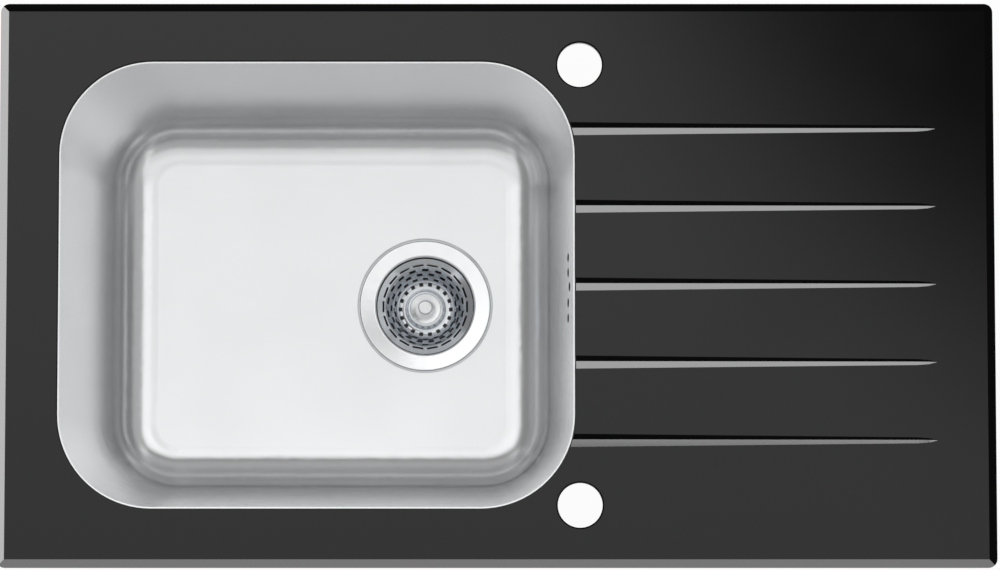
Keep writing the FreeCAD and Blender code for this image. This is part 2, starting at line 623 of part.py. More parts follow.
def make_basket():
    thick = "basket_sheet"
    body = turning("strainer_basket", [
        ("stem_radius", f"boss_top - {thick}"),
        (f"basket_boss - boss_slope - {thick}", f"boss_top - {thick}"),
        (f"basket_boss - {thick}", "basket_under"), ("basket_foot", "basket_under"),
        ("basket_radius", f"basket_rim - {thick}"), ("basket_flange", f"basket_rim + rim_rise - {thick}"),
        ("basket_flange", "basket_rim + rim_rise"), (f"basket_radius - {thick}", "basket_rim"),
        (f"basket_foot - {thick}", "basket_floor"), ("basket_boss", "basket_floor"),
        ("basket_boss - boss_slope", "boss_top"), ("stem_radius", "boss_top")], x="waste_x")
    inside = soften(body, "Fillet", body.Tip,
                    ring_edges(body.Tip, (f"basket_foot - {thick}", "basket_floor")), Radius="basket_round")
    outside = soften(body, "Fillet", inside, ring_edges(inside, ("basket_foot", "basket_under")),
                     Radius=f"basket_round + {thick}")
    boss = soften(body, "Fillet", outside,
                  ring_edges(outside, ("basket_boss - boss_slope", "boss_top")), Radius=f"2 * {thick}")
    soften(body, "Fillet", boss, ring_edges(boss, (f"basket_radius - {thick}", "basket_rim")), Radius=thick)
    # rows of slots round the rim, the wall and the foot, every second row turned by half a step
    walls = []
    for row in range(3):
        radius = f"(wall_slot_radius - {row} * wall_slot_step)"
        walls.append((radius, "wall_slot_width", f"wall_slot_length * {radius} / wall_slot_radius"))
    straight = [("rim_slot_radius", "rim_slot_width", "rim_slot_length"), walls[1],
                ("foot_slot_radius", "foot_slot_width", "foot_slot_length")]
    staggered = [walls[0], walls[2]]
    for name, turn, rows in (("slots", "0", straight), ("staggered_slots", "180 / slot_count", staggered)):
        sketch = new_sketch(body, name, offset="basket_under - basket_sheet", turn=turn)
        for radius, width, length in rows:
            rectangle(sketch, f"{radius} - {width} / 2", f"{radius} + {width} / 2",
                      f"-({length}) / 2", f"({length}) / 2")
        repeat_round(body, pocket(body, sketch), "slot_count")
    return body


def make_basket_fittings():
    keep("basket_rosette", turning("basket_rosette", [
        ("stem_radius", "boss_top"), ("rosette_radius", "boss_top"),
        ("rosette_radius", "rosette_top - rosette_dish / 2"),
        ("rosette_radius - rosette_dish", "rosette_top"),
        ("knob_radius", "rosette_top - rosette_dish"), ("stem_radius", "rosette_top - rosette_dish")],
        x="waste_x"))
    base = "rosette_top - rosette_dish"
    knob = turning("basket_knob", [
        ("0", f"{base} + knob_height / 2"), ("stem_radius", f"{base} + knob_height / 2"),
        ("stem_radius", base), ("knob_radius", base), ("knob_radius", f"{base} + knob_height"),
        ("0", f"{base} + knob_height")], x="waste_x")
    soften(knob, "Fillet", knob.Tip, ring_edges(knob.Tip, ("knob_radius", f"{base} + knob_height")),
           Radius="knob_round")
    keep("basket_knob", knob)
    keep("basket_stem", turning("basket_stem", [
        ("0", "stem_bottom"), ("stem_radius", "stem_bottom"), ("stem_radius", f"{base} + knob_height / 2"),
        ("0", f"{base} + knob_height / 2")], x="waste_x"))
    keep("basket_seal", turning("basket_seal", [
        ("stem_radius", "seal_under"), ("basket_seal_radius - seal_lip", "seal_under"),
        ("basket_seal_radius - seal_lip", "ledge_top"), ("basket_seal_radius", "ledge_top"),
        ("basket_seal_radius", "basket_under"), ("stem_radius", "basket_under")], x="waste_x"))
    nut = turning("basket_nut", [
        ("stem_radius", "seal_under - basket_nut_flange"),
        ("basket_nut_radius", "seal_under - basket_nut_flange"),
        ("basket_nut_radius", "seal_under"), ("stem_radius", "seal_under")], x="waste_x")
    hexagon = new_sketch(nut, "nut_hexagon", offset="seal_under - basket_nut_flange")
    six_sides(hexagon, "basket_nut_flats")
    circle(hexagon, "stem_radius")
    pad(nut, hexagon, "basket_nut_height", back=True)
    keep("basket_nut", nut)


def on_wall(name):
    # a body whose X points out of the bowl's right wall, at the overflow
    return new_body(name, x="overflow_x", z="overflow_z", turn="overflow_lean", axis=(0, 1, 0))


def make_overflow():
    length, height = "housing_length", "housing_height"
    inside, low = "housing_box - 2 * housing_wall", "housing_height - 2 * housing_wall"
    gasket = on_wall("overflow_gasket")
    sheet_cut = new_sketch(gasket, "gasket_outline", "YZ_Plane")
    rounded(sheet_cut, "0", "0", length, height, "housing_corner")
    rounded(sheet_cut, "0", "0", inside, low, "housing_corner / 2")
    for side in ("-1", "1"):
        circle(sheet_cut, "stud_radius", f"{side} * stud_pitch / 2")
    pad(gasket, sheet_cut, "gasket_height")
    keep("overflow_gasket", gasket)

    shell = on_wall("housing_shell")
    flange = new_sketch(shell, "housing_flange_outline", "YZ_Plane", "gasket_height")
    rounded(flange, "0", "0", length, height, "housing_corner")
    for side in ("-1", "1"):
        circle(flange, "stud_radius", f"{side} * stud_pitch / 2")
    pad(shell, flange, "housing_flange")
    box = rounded(new_sketch(shell, "housing_box_outline", "YZ_Plane", "gasket_height"), "0", "0",
                  "housing_box", height, "housing_corner")
    pad(shell, box, "housing_reach")
    hollow = on_wall("housing_hollow")
    room = rounded(new_sketch(hollow, "housing_room", "YZ_Plane", "gasket_height - housing_wall"),
                   "0", "0", inside, low, "housing_corner / 2")
    pad(hollow, room, "housing_reach")
    spigot = cylinder("spigot", "spigot_radius", "overflow_z - spigot_end - housing_wall", x="pipe_x",
                      z="spigot_end")
    bore = cylinder("spigot_bore", "spigot_bore", "overflow_z - spigot_end", x="pipe_x",
                    z="spigot_end - housing_wall")
    joined = fuse("housing_joined", cut("housing_box_hollow", shell, hollow),
                  cut("spigot_outside", spigot, hollow))
    keep("overflow_housing", cut("overflow_housing", joined, bore))

    studs, nuts = [], []
    for index, side in enumerate(("-1", "1")):
        spot = f"{side} * stud_pitch / 2"
        stud = on_wall(f"stud_{index}")
        pad(stud, circle(new_sketch(stud, f"stud_section_{index}", "YZ_Plane"), "stud_radius", spot),
            "stud_length")
        studs.append(stud)
        nut = on_wall(f"stud_nut_{index}")
        face = new_sketch(nut, f"stud_nut_section_{index}", "YZ_Plane", "gasket_height + housing_flange")
        six_sides(face, "stud_nut", spot)
        circle(face, "stud_radius", spot)
        pad(nut, face, "stud_nut_height")
        nuts.append(nut)
    keep("overflow_studs", group("overflow_studs", studs))
    keep("overflow_nuts", group("overflow_nuts", nuts))


def make_overflow_pipe():
    # straight down behind the bowl, round one bend and across to the waste
    start, end = "spigot_end + pipe_overlap", "inlet_end - pipe_overlap"
    body = new_body("overflow_pipe")
    route = new_sketch(body, "pipe_route", "XZ_Plane")
    x, top, z, left, bend = (number(f) for f in ("pipe_x", start, "inlet_z", end, "pipe_bend"))
    point = FreeCAD.Vector
    route.addGeometry(Part.LineSegment(point(x, top), point(x, z + bend)))
    turn = Part.Circle(point(x - bend, z + bend), point(0, 0, 1), bend)
    route.addGeometry(Part.ArcOfCircle(turn, -math.pi / 2, 0))
    route.addGeometry(Part.LineSegment(point(x - bend, z), point(left, z)))
    route.addConstraint(Sketcher.Constraint("Vertical", 0))
    route.addConstraint(Sketcher.Constraint("Horizontal", 2))
    route.addConstraint(Sketcher.Constraint("Tangent", 0, 2, 1, 2))
    route.addConstraint(Sketcher.Constraint("Tangent", 1, 1, 2, 1))
    fix(route, "DistanceX", "pipe_x", -1, 1, 0, 1)
    fix(route, "DistanceY", start, -1, 1, 0, 1)
    fix(route, "DistanceX", end, -1, 1, 2, 2)
    fix(route, "DistanceY", "inlet_z", -1, 1, 2, 2)
    fix(route, "Radius", "pipe_bend", 1)
    for kind, radius in (("AdditivePipe", "pipe_radius"), ("SubtractivePipe", "pipe_bore")):
        section = circle(new_sketch(body, kind + "_section", offset=start), radius, "pipe_x")
        tube = body.newObject("PartDesign::" + kind, kind)
        tube.Profile = section
        tube.Spine = (route, ["Edge1", "Edge2", "Edge3"])
    keep("overflow_pipe", body)


def coupling(name, **spot):
    # a nut over a spigot, with the spigot's end at height 0 and the spigot above it
    body = turning(name, [
        ("spigot_radius", "coupling_grip"), ("spigot_radius", "-pipe_seal_height"),
        ("spigot_bore", "-pipe_seal_height"), ("spigot_bore", "coupling_grip - coupling_length"),
        ("coupling_radius", "coupling_grip - coupling_length"), ("coupling_radius", "coupling_grip")], **spot)
    flats = new_sketch(body, name + "_flats", offset="coupling_grip - coupling_length")
    six_sides(flats, "coupling_flats")
    circle(flats, "2 * coupling_radius")
    pocket(body, flats)
    return body


def make_couplings():
    spots = {"upper": dict(x="pipe_x", z="spigot_end"),
             "lower": dict(x="inlet_end", z="inlet_z", turn="-90", axis=(0, 1, 0))}
    for end, spot in spots.items():
        keep("pipe_nut_" + end, coupling("pipe_nut_" + end, **spot))
        keep("pipe_seal_" + end, turning("pipe_seal_" + end, [
            ("pipe_radius", "-pipe_seal_height"), ("spigot_radius", "-pipe_seal_height"),
            ("spigot_radius", "0"), ("pipe_radius", "0")], **spot))


# Each clamp's screw axis and the way out to the worktop's edge.
BACK, SIDE = "cutout_depth / 2 - clamp_inset", "cutout_width / 2 - clamp_inset"
CLAMPS = [("-clamp_x", BACK, "90"), ("clamp_x", BACK, "90"), ("-clamp_x", f"-({BACK})", "-90"),
          ("clamp_x", f"-({BACK})", "-90"), (f"-({SIDE})", "0", "180"), (SIDE, "0", "0")]


def make_rail(index, spot):
    body = new_body(f"rail_{index}", **spot)
    section = polygon(new_sketch(body, f"rail_section_{index}", "XZ_Plane"), [
        ("rail_reach - rail_width", "seal_height"), ("rail_reach - rail_width", "seal_height - rail_sheet"),
        ("rail_reach - rail_sheet", "seal_height - rail_sheet"),
        ("rail_reach - rail_sheet", "seal_height - rail_height"), ("rail_reach", "seal_height - rail_height"),
        ("rail_reach", "seal_height")])
    pad(body, section, "rail_length", middle=True)
    holes = new_sketch(body, f"rail_holes_{index}", "YZ_Plane")
    rivet_circles(holes)
    pocket(body, holes)
    return body


def rivet_circles(sketch):
    for side in ("-1", "1"):
        circle(sketch, "rivet_radius", f"{side} * rivet_pitch / 2", "seal_height - rivet_drop")


def make_bracket(index, spot):
    inner = "rail_reach - rail_sheet - bracket_sheet"
    outer = "rail_reach - rail_sheet"
    body = new_body(f"bracket_{index}", **spot)
    section = polygon(new_sketch(body, f"bracket_section_{index}", "XZ_Plane"), [
        (inner, "seal_height - bracket_top"), (inner, "bracket_under + bracket_sheet"),
        (f"{inner} - bracket_ear", "bracket_under + bracket_sheet"),
        (f"{inner} - bracket_ear", "bracket_under"),
        (outer, "bracket_under"), (outer, "seal_height - bracket_top")])
    bent = pad(body, section, "bracket_width", middle=True)
    inside = soften(body, "Fillet", bent, edges_through(bent, inner, "0", "bracket_under + bracket_sheet"),
                    Radius="bracket_round")
    soften(body, "Fillet", inside, edges_through(inside, outer, "0", "bracket_under"),
           Radius="bracket_round + bracket_sheet")
    holes = new_sketch(body, f"bracket_holes_{index}", "YZ_Plane")
    rivet_circles(holes)
    pocket(body, holes)
    thread = circle(new_sketch(body, f"bracket_thread_{index}", offset="bracket_under"), "clamp_hole")
    pocket(body, thread, "bracket_sheet")
    return body


def make_rivets(index, spot):
    inner = "rail_reach - rail_sheet - bracket_sheet"
    rivets = []
    for end, side in enumerate(("-1", "1")):
        body = new_body(f"rivet_{index}_{end}", **spot)
        for part, radius, start, length in (
                ("tail", "rivet_head", f"{inner} - rivet_head_height", "rivet_head_height"),
                ("shank", "rivet_radius", inner, "bracket_sheet + rail_sheet"),
                ("head", "rivet_head", "rail_reach", "rivet_head_height")):
            section = new_sketch(body, f"rivet_{part}_{index}_{end}", "YZ_Plane", start)
            circle(section, radius, f"{side} * rivet_pitch / 2", "seal_height - rivet_drop")
            pad(body, section, length)
        rivets.append(body)
    return rivets


def make_clamp_screw(index, spot):
    name = f"clamp_screw_{index}"
    flange = "claw_under - clamp_flange_height"
    body = turning(name, [
        ("0", flange), ("clamp_flange", flange), ("clamp_flange", "claw_under"),
        ("clamp_screw_radius", "claw_under"), ("clamp_screw_radius", "claw_under + clamp_screw_length"),
        ("0", "claw_under + clamp_screw_length")], **spot)
    head = six_sides(new_sketch(body, name + "_head", offset=flange), "clamp_head")
    pad(body, head, "clamp_head_height", back=True)
    keep(name, body)


def make_claw(index, spot):
    # at rest the claw points along its worktop edge
    name = f"clamp_claw_{index}"
    half, reach = "claw_width / 2", "claw_reach"
    body = new_body(name, **spot)
    plan = rectangle(new_sketch(body, name + "_plan", offset="claw_under"),
                     f"-{half}", half, f"-{half}", reach)
    strip = pad(body, plan, "claw_thickness")
    middle = "claw_under + claw_thickness / 2"
    tail = [name for side in ("-", "") for name in edges_through(strip, side + half, f"-{half}", middle)]
    soften(body, "Fillet", strip, tail, Radius="claw_corner")
    tooth = rectangle(new_sketch(body, name + "_tooth", offset="claw_top"), f"-{half}", half,
                      f"{reach} - claw_tooth", reach)
    pad(body, tooth, "claw_tooth_height")
    hole = circle(new_sketch(body, name + "_hole", offset="claw_under"), "clamp_hole")
    pocket(body, hole, "claw_thickness")
    keep(name, body)


def make_clamps():
    rails, brackets, rivets = [], [], []
    for index, (x, y, turn) in enumerate(CLAMPS, 1):
        spot = dict(x=x, y=y, turn=turn)
        rails.append(make_rail(index, spot))
        brackets.append(make_bracket(index, spot))
        rivets += make_rivets(index, spot)
        make_clamp_screw(index, spot)
        make_claw(index, spot)
    keep("clip_rails", group("clip_rails", rails))
    keep("clamp_brackets", group("clamp_brackets", brackets))
    keep("bracket_rivets", group("bracket_rivets", rivets))


keep("glass_top", make_glass_top())
keep("deck_tray", make_tray())
keep("glass_bond", make_bond())
keep("rim_seal", make_rim_seal())
keep("bowl", make_bowl())
keep("bowl_edge_joint", make_edge_joint())
keep("sound_pad", make_sound_pad())
keep("drainer_ribs", make_drainer_ribs())
keep("waste_top_seal", flat_ring("waste_top_seal", "waste_hole",
                                 "strainer_flange - top_seal_setback", "seat_top", "strainer_under"))
keep("waste_cup", make_strainer_cup())
keep("waste_bottom_seal", flat_ring("waste_bottom_seal", "waste_hole", "recess_radius - recess_slope",
                                    "body_top", "seat_under"))
keep("waste_body", make_waste_body())
keep("waste_insert", flat_ring("waste_insert", "screw_radius", "insert_radius", "sump_under - insert_length",
                               "sump_under"))
keep("waste_screw", make_clamping_screw())
keep("waste_washer", flat_ring("waste_washer", "screw_radius", "washer_radius", "sump_top",
                               "sump_top + washer_height"))
keep("strainer_basket", make_basket())
make_basket_fittings()
make_overflow()
make_overflow_pipe()
make_couplings()
make_clamps()

doc.recompute()
for thing in doc.Objects:
    if {"Invalid", "Error"} & set(thing.State):
        raise RuntimeError(f"{thing.Label} failed: {thing.State}")
for label, thing in nodes.items():
    if thing.Shape.isNull() or not thing.Shape.isValid():
        raise RuntimeError(f"{label} has no valid shape")

os.makedirs("parts", exist_ok=True)
for label, thing in nodes.items():
    thing.Shape.exportStep(f"parts/{label}.step")
    print(label, len(thing.Shape.Solids), round(thing.Shape.Volume, 1))
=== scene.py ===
import json
import math

import bmesh
import bpy
from mathutils import Matrix, Vector


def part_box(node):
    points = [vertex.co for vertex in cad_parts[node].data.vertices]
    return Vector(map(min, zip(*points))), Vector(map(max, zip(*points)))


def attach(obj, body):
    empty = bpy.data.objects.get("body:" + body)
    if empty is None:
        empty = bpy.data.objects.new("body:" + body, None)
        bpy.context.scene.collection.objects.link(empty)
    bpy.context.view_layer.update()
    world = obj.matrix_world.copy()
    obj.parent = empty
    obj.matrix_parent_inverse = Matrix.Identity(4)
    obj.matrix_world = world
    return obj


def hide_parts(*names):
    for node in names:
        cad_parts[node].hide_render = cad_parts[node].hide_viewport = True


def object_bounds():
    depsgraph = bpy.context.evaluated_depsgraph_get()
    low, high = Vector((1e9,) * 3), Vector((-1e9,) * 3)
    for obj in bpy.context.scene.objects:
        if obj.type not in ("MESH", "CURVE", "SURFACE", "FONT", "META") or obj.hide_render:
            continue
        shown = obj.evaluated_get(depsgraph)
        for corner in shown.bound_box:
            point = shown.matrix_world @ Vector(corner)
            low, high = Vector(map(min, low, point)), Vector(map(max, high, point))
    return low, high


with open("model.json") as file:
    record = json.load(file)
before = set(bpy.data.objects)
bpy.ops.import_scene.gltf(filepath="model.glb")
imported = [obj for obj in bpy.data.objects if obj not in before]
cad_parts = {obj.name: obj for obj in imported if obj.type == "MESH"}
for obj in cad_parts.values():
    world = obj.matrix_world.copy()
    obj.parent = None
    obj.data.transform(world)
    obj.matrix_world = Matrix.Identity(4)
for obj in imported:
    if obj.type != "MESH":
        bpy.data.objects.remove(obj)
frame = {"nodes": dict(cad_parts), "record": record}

nodes = frame["nodes"]
scene = bpy.context.scene
scene.view_settings.view_transform = "Standard"
cadLow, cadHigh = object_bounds()
print("frame loaded:", len(nodes), "nodes")

mmPerMetre = 1000
# most of a noise's values lie in this span
noiseSpan = (0.3, 0.7)


def toLinear(hexColour):
    parts = [int(hexColour[i:i + 2], 16) / 255 for i in (1, 3, 5)]
    return [p / 12.92 if p <= 0.04045 else ((p + 0.055) / 1.055) ** 2.4 for p in parts] + [1.0]


def addNode(tree, kind, settings, links={}):
    node = tree.nodes.new(kind)
    for name, value in settings.items():
        if isinstance(name, int) or name in node.inputs:
            node.inputs[name].default_value = value
        else:
            setattr(node, name, value)
    for name, socket in links.items():
        tree.links.new(socket, node.inputs[name])
    return node


def addNoise(tree, place, size, detail):
    # a noise with features of this size in millimetres
    settings = {"Scale": mmPerMetre / size, "Detail": detail}
    return addNode(tree, "ShaderNodeTexNoise", settings, {"Vector": place}).outputs["Fac"]


def addStretchedNoise(tree, place, sizes, detail):
    # a noise with features of these sizes in millimetres along X, Y and Z
    mapping = addNode(tree, "ShaderNodeMapping", {"Scale": [1 / size for size in sizes]}, {"Vector": place})
    return addNoise(tree, mapping.outputs["Vector"], 1, detail)


def addBump(tree, height, depth, normal=None):
    links = {"Height": height} if normal is None else {"Height": height, "Normal": normal}
    return addNode(tree, "ShaderNodeBump", {"Strength": 1.0, "Distance": depth}, links).outputs["Normal"]


def addMath(tree, operation, *values):
    # each value is a number or another node's socket
    settings, links = {"operation": operation}, {}
    for i, value in enumerate(values):
        (links if isinstance(value, bpy.types.NodeSocket) else settings)[i] = value
    return addNode(tree, "ShaderNodeMath", settings, links).outputs[0]


def addMix(tree, kind, factor, first, second):
    # the node has sockets of its own for numbers and for colours; each end is a value or another node's socket
    firstSocket, secondSocket, result = {"FLOAT": (2, 3, 0), "RGBA": (6, 7, 2)}[kind]
    settings, links = {"data_type": kind}, {"Factor": factor}
    for socket, end in ((firstSocket, first), (secondSocket, second)):
        (links if isinstance(end, bpy.types.NodeSocket) else settings)[socket] = end
    return addNode(tree, "ShaderNodeMix", settings, links).outputs[result]


def fadeBetween(tree, value, near, far, kind="LINEAR"):
    # a level that runs from near to far, each given as a place and a level, with the smaller place first
    settings = {"interpolation_type": kind, "From Min": near[0], "From Max": far[0],
                "To Min": near[1], "To Max": far[1]}
    return addNode(tree, "ShaderNodeMapRange", settings, {"Value": value}).outputs["Result"]


def spreadNoise(tree, noise, levels, span=noiseSpan):
    return fadeBetween(tree, noise, (span[0], levels[0]), (span[1], levels[1]))


def newMaterial(name, settings):
    material = bpy.data.materials.new(name)
    material.use_nodes = True
    tree = material.node_tree
    surface = tree.nodes["Principled BSDF"]
    for socket, value in settings.items():
        surface.inputs[socket].default_value = value
    return material, tree, surface


def dressSurface(tree, surface, colour=None, roughness=None, normal=None):
    for name, socket in (("Base Color", colour), ("Roughness", roughness), ("Normal", normal)):
        if socket is not None:
            tree.links.new(socket, surface.inputs[name])


# Toughened float glass, black enamel fired on its back: deep black with a clear, mirror-like face.
glassLook = {"black": "#060607", "refraction": 1.46, "roughness": (0.05, 0.085), "haze": 140,
             "hazeSpan": (0.35, 0.7), "rollerWave": 220, "waveDepth": 0.000004}


def makeGlass():
    settings = {"IOR": glassLook["refraction"], "Base Color": toLinear(glassLook["black"])}
    material, tree, surface = newMaterial("toughened glass, black enamelled back", settings)
    place = addNode(tree, "ShaderNodeTexCoord", {}).outputs["Object"]
    haze = addNoise(tree, place, glassLook["haze"], 4.0)
    wave = addNoise(tree, place, glassLook["rollerWave"], 0.0)
    dressSurface(tree, surface, roughness=spreadNoise(tree, haze, glassLook["roughness"], glassLook["hazeSpan"]),
                 normal=addBump(tree, wave, glassLook["waveDepth"]))
    return material


# Drawn and satin-ground stainless steel: soft broad reflections, fine grinding lines, slight draw waves. Only the
# faces that look up are ground. Those that look down are rougher, as the press left them, and a darker grey: the
# roughness and part of the grey are the pressed finish, the rest of the grey is painted shade on the underside.
steelLook = {"pale": "#e6e7e8", "grey": "#dedfe0", "roughness": (0.2, 0.25), "lineSpacing": 1.2, "lineLength": 60,
             "drawWave": 70, "waveDepth": 0.00004, "lineDepth": 0.000001,
             "streakLength": 80, "streakSpacing": 3.0, "streakDepth": 0.00007,
             "outside": "#a6a7a8", "outsideRoughness": 0.36, "outsideSlope": (-0.06, -0.03)}
# Pressed and polished stainless steel: bright, close to a mirror.
polishLook = {"pale": "#fafbfb", "grey": "#f0f2f4", "roughness": (0.1, 0.15), "lineSpacing": 0.8, "lineLength": 8,
              "drawWave": 12, "waveDepth": 0.00001, "lineDepth": 0.000001}
# Pressed and tumbled stainless steel: a greyer, softer gleam.
basketLook = {"pale": "#d6d9dc", "grey": "#c6cace", "roughness": (0.14, 0.2), "lineSpacing": 0.8, "lineLength": 8,
              "drawWave": 12, "waveDepth": 0.00001, "lineDepth": 0.000001}
# Stainless sheet as the mill rolls it: dull, with long faint lines.
sheetLook = {"pale": "#c9c9c6", "grey": "#bcbcb9", "roughness": (0.3, 0.42), "lineSpacing": 1.5, "lineLength": 90,
             "drawWave": 120, "waveDepth": 0.00002, "lineDepth": 0.000005}
# Zinc plate on steel: bluish grey with a mottled sheen.
zincLook = {"pale": "#c3c7cb", "grey": "#9fa5aa", "roughness": (0.28, 0.42), "lineSpacing": 3, "lineLength": 3,
            "drawWave": 9, "waveDepth": 0.00002, "lineDepth": 0.000004}
# Turned brass: warm yellow with a fine sheen.
brassLook = {"pale": "#d8b869", "grey": "#c4a04f", "roughness": (0.2, 0.3), "lineSpacing": 0.5, "lineLength": 5,
             "drawWave": 8, "waveDepth": 0.000005, "lineDepth": 0.000002}


def makeMetal(name, look):
    material, tree, surface = newMaterial(name, {"Metallic": 1.0})
    spot = addNode(tree, "ShaderNodeTexCoord", {})
    place = spot.outputs["Object"]
    # real grinding lines are about 0.1 mm apart; these are coarser so that they show
    lines = addStretchedNoise(tree, place, (look["lineLength"], look["lineSpacing"], look["lineSpacing"]), 3.0)
    wave = addNoise(tree, place, look["drawWave"], 1.0)
    colour = addMix(tree, "RGBA", wave, toLinear(look["grey"]), toLinear(look["pale"]))
    roughness = spreadNoise(tree, lines, look["roughness"])
    normal = addBump(tree, lines, look["lineDepth"], addBump(tree, wave, look["waveDepth"]))
    if "streakDepth" in look:
        # the press leaves level streaks on the walls
        sizes = (look["streakLength"], look["streakLength"], look["streakSpacing"])
        normal = addBump(tree, addStretchedNoise(tree, place, sizes, 2.0), look["streakDepth"], normal)
    # faces that look down get a rougher finish and a darker grey, which is partly painted shade
    if "outside" in look:
        facing = addNode(tree, "ShaderNodeSeparateXYZ", {}, {"Vector": spot.outputs["Normal"]})
        outside, inside = look["outsideSlope"]
        under = fadeBetween(tree, facing.outputs["Z"], (outside, 1.0), (inside, 0.0))
        colour = addMix(tree, "RGBA", under, colour, toLinear(look["outside"]))
        roughness = addMix(tree, "FLOAT", under, roughness, look["outsideRoughness"])
    dressSurface(tree, surface, colour, roughness, normal)
    return material


# Moulded and cast polymers: a matt skin with a fine grain and slight changes of tone, which are toneGrains wide.
polymerSkin = {"refraction": 1.5, "toneGrains": 25}


def makePolymer(name, pale, dark, roughness, grain, depth):
    material, tree, surface = newMaterial(name, {"IOR": polymerSkin["refraction"]})
    place = addNode(tree, "ShaderNodeTexCoord", {}).outputs["Object"]
    skin = addNoise(tree, place, grain, 3.0)
    tone = addNoise(tree, place, polymerSkin["toneGrains"] * grain, 2.0)
    dressSurface(tree, surface, addMix(tree, "RGBA", tone, toLinear(dark), toLinear(pale)),
                 spreadNoise(tree, skin, roughness), addBump(tree, skin, depth))
    return material


# A polymer's values are its pale and dark tones, its roughness, and its grain's size in mm and depth in metres.
finishes = {
    "black_glass": makeGlass(),
    "satin_steel": makeMetal("stainless steel, deep drawn and satin ground", steelLook),
    "polished_steel": makeMetal("stainless steel, pressed and polished", polishLook),
    "basket_steel": makeMetal("stainless steel, pressed and tumbled", basketLook),
    "tray_steel": makeMetal("stainless steel sheet, mill finish", sheetLook),
    "zinc_steel": makeMetal("steel, zinc plated", zincLook),
    "brass": makeMetal("brass, turned", brassLook),
    "black_silicone": makePolymer("silicone, black, tooled", "#191919", "#121212", (0.35, 0.5), 1.0, 0.00002),
    "grey_foam": makePolymer("polyethylene foam, closed cell", "#5a5a5a", "#4a4a4a", (0.8, 0.95), 0.8, 0.0001),
    "black_rubber": makePolymer("rubber, compression moulded", "#242424", "#1a1a1a", (0.5, 0.65), 0.6, 0.00002),
    "bitumen_pad": makePolymer("bitumen sheet, sound deadening", "#3a3a3c", "#2b2b2d", (0.7, 0.85), 2.0, 0.00015),
    "white_plastic": makePolymer("polypropylene, white, moulded", "#ecebe6", "#e4e3dd", (0.38, 0.5), 0.5, 0.00001),
    "black_plastic": makePolymer("polypropylene, black, moulded", "#1c1c1d", "#151516", (0.4, 0.52), 0.5, 0.00001),
    "grey_plastic": makePolymer("polypropylene, grey, moulded", "#8b8d8f", "#7f8183", (0.4, 0.52), 0.5, 0.00001),
}
for entry in frame["record"]["subparts"]:
    piece = nodes[entry["node"]]
    piece.data.materials.clear()
    piece.data.materials.append(finishes[entry["material_slot"]])
print("finishes set:", len(finishes))

# Points closer than this are one point. Edges bent by more than these angles stay sharp, or count as corners.
samePoint = 1e-6
sharpAngle = math.radians(35)
cornerAngle = 0.5


def finishPiece(name, shape, body, slot, replaced=None):
    bmesh.ops.remove_doubles(shape, verts=shape.verts, dist=samePoint)
    bmesh.ops.recalc_face_normals(shape, faces=shape.faces)
    mesh = bpy.data.meshes.new(name)
    shape.to_mesh(mesh)
    shape.free()
    mesh.shade_smooth()
    mesh.set_sharp_from_angle(angle=sharpAngle)
    mesh.materials.append(finishes[slot])
    piece = bpy.data.objects.new(name, mesh)
    scene.collection.objects.link(piece)
    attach(piece, body)
    if replaced:
        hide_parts(replaced)


def liesAt(height, verts):
    return all(abs(v.co.z - height) < samePoint for v in verts)


def edgesAt(shape, height):
    # the corners of the shape that lie at this height
    return [edge for edge in shape.edges
            if liesAt(height, edge.verts) and edge.calc_face_angle(0) > cornerAngle]


def bevelEdges(shape, edges, offset, segments):
    bmesh.ops.bevel(shape, geom=edges, offset=offset, affect="EDGES", segments=segments, profile=0.5, material=-1)


def addTurned(shape, sides, radius, low, high):
    bmesh.ops.create_cone(shape, cap_ends=True, segments=sides, radius1=radius, radius2=radius, depth=high - low,
                          matrix=Matrix.Translation((0, 0, (low + high) / 2)))


def addLoop(shape, points):
    corners = [shape.verts.new(point) for point in points]
    return corners, [shape.edges.new(pair) for pair in zip(corners, corners[1:] + corners[:1])]


def windThread(shape, thread, low, high):
    # a blunt V, wound one pitch a turn, with its feet sunk into the shank
    turns = int((high - low) / thread["pitch"]) - 1
    foot, crest = thread["root"] - thread["sunk"], thread["crest"]
    profile = zip((foot, crest, crest, foot), thread["shares"])
    corners, sides = addLoop(shape, [(radius, 0, low + share * thread["pitch"]) for radius, share in profile])
    wound = bmesh.ops.spin(shape, geom=corners + sides, cent=(0, 0, 0), axis=(0, 0, 1), angle=2 * math.pi * turns,
                           dvec=(0, 0, thread["pitch"] / thread["steps"]), steps=turns * thread["steps"],
                           use_merge=False)
    shape.faces.new(corners)
    bmesh.ops.contextual_create(shape, geom=wound["geom_last"])


def centreOn(shape, low, high):
    bmesh.ops.translate(shape, verts=shape.verts, vec=((low.x + high.x) / 2, (low.y + high.y) / 2, 0))


# Worktop clamp screws: rolled thread, flanged hexagon head with a chamfered edge. The shares say where along one
# pitch the thread's foot and crest begin and end.
clampScrew = {"count": 6, "root": 0.00205, "crest": 0.0025, "sunk": 0.0001, "shares": (0.02, 0.42, 0.58, 0.98),
              "pitch": 0.0008, "steps": 20, "point": 0.0006, "flange": 0.006, "flangeHeight": 0.0015,
              "flangeSides": 48, "acrossFlats": 0.008, "headHeight": 0.0045, "headSides": 6, "headOverlap": 0.0002,
              "chamfer": 0.0005}


